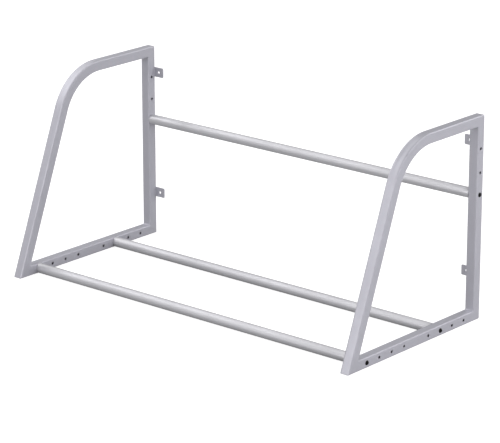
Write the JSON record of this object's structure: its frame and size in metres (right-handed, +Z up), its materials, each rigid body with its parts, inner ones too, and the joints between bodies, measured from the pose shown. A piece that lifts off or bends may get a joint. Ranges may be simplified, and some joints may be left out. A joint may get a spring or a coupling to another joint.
{
  "type": "tyre storage rack",
  "caption": "Wall-fixed rack for storing tyres upright: two side frames of bent square tube joined by bolted round cross bars.",
  "frame": {"origin": "on the floor, under the middle of the rack: bottom centre of the bounding box", "axes": "+X along the cross bars, from the left side frame to the right as seen from the open front; +Y from the open front to the wall; +Z up"},
  "size_m": [1.278, 0.6, 0.6],
  "materials": {
    "frame_paint": "satin light grey powder coat",
    "bar_paint": "semi-gloss light grey coat",
    "bolt_black": "black, half gloss",
    "plug_steel": "turned, zinc plated"
  },
  "bodies": {
    "root": {"left_bottom_rail": "frame_paint", "left_rear_post": "frame_paint", "left_bent_tube": "frame_paint", "left_upper_wall_lug": "frame_paint", "left_lower_wall_lug": "frame_paint", "right_bottom_rail": "frame_paint", "right_rear_post": "frame_paint", "right_bent_tube": "frame_paint", "right_upper_wall_lug": "frame_paint", "right_lower_wall_lug": "frame_paint", "front_lower_bar": "bar_paint", "rear_lower_bar": "bar_paint", "back_bar": "bar_paint", "front_bar_left_plug": "plug_steel", "front_bar_right_plug": "plug_steel", "rear_bar_left_plug": "plug_steel", "rear_bar_right_plug": "plug_steel", "back_bar_left_plug": "plug_steel", "back_bar_right_plug": "plug_steel", "front_bar_left_bolt": "bolt_black", "front_bar_right_bolt": "bolt_black", "rear_bar_left_bolt": "bolt_black", "rear_bar_right_bolt": "bolt_black", "back_bar_left_bolt": "bolt_black", "back_bar_right_bolt": "bolt_black"}
  },
  "joints": []
}
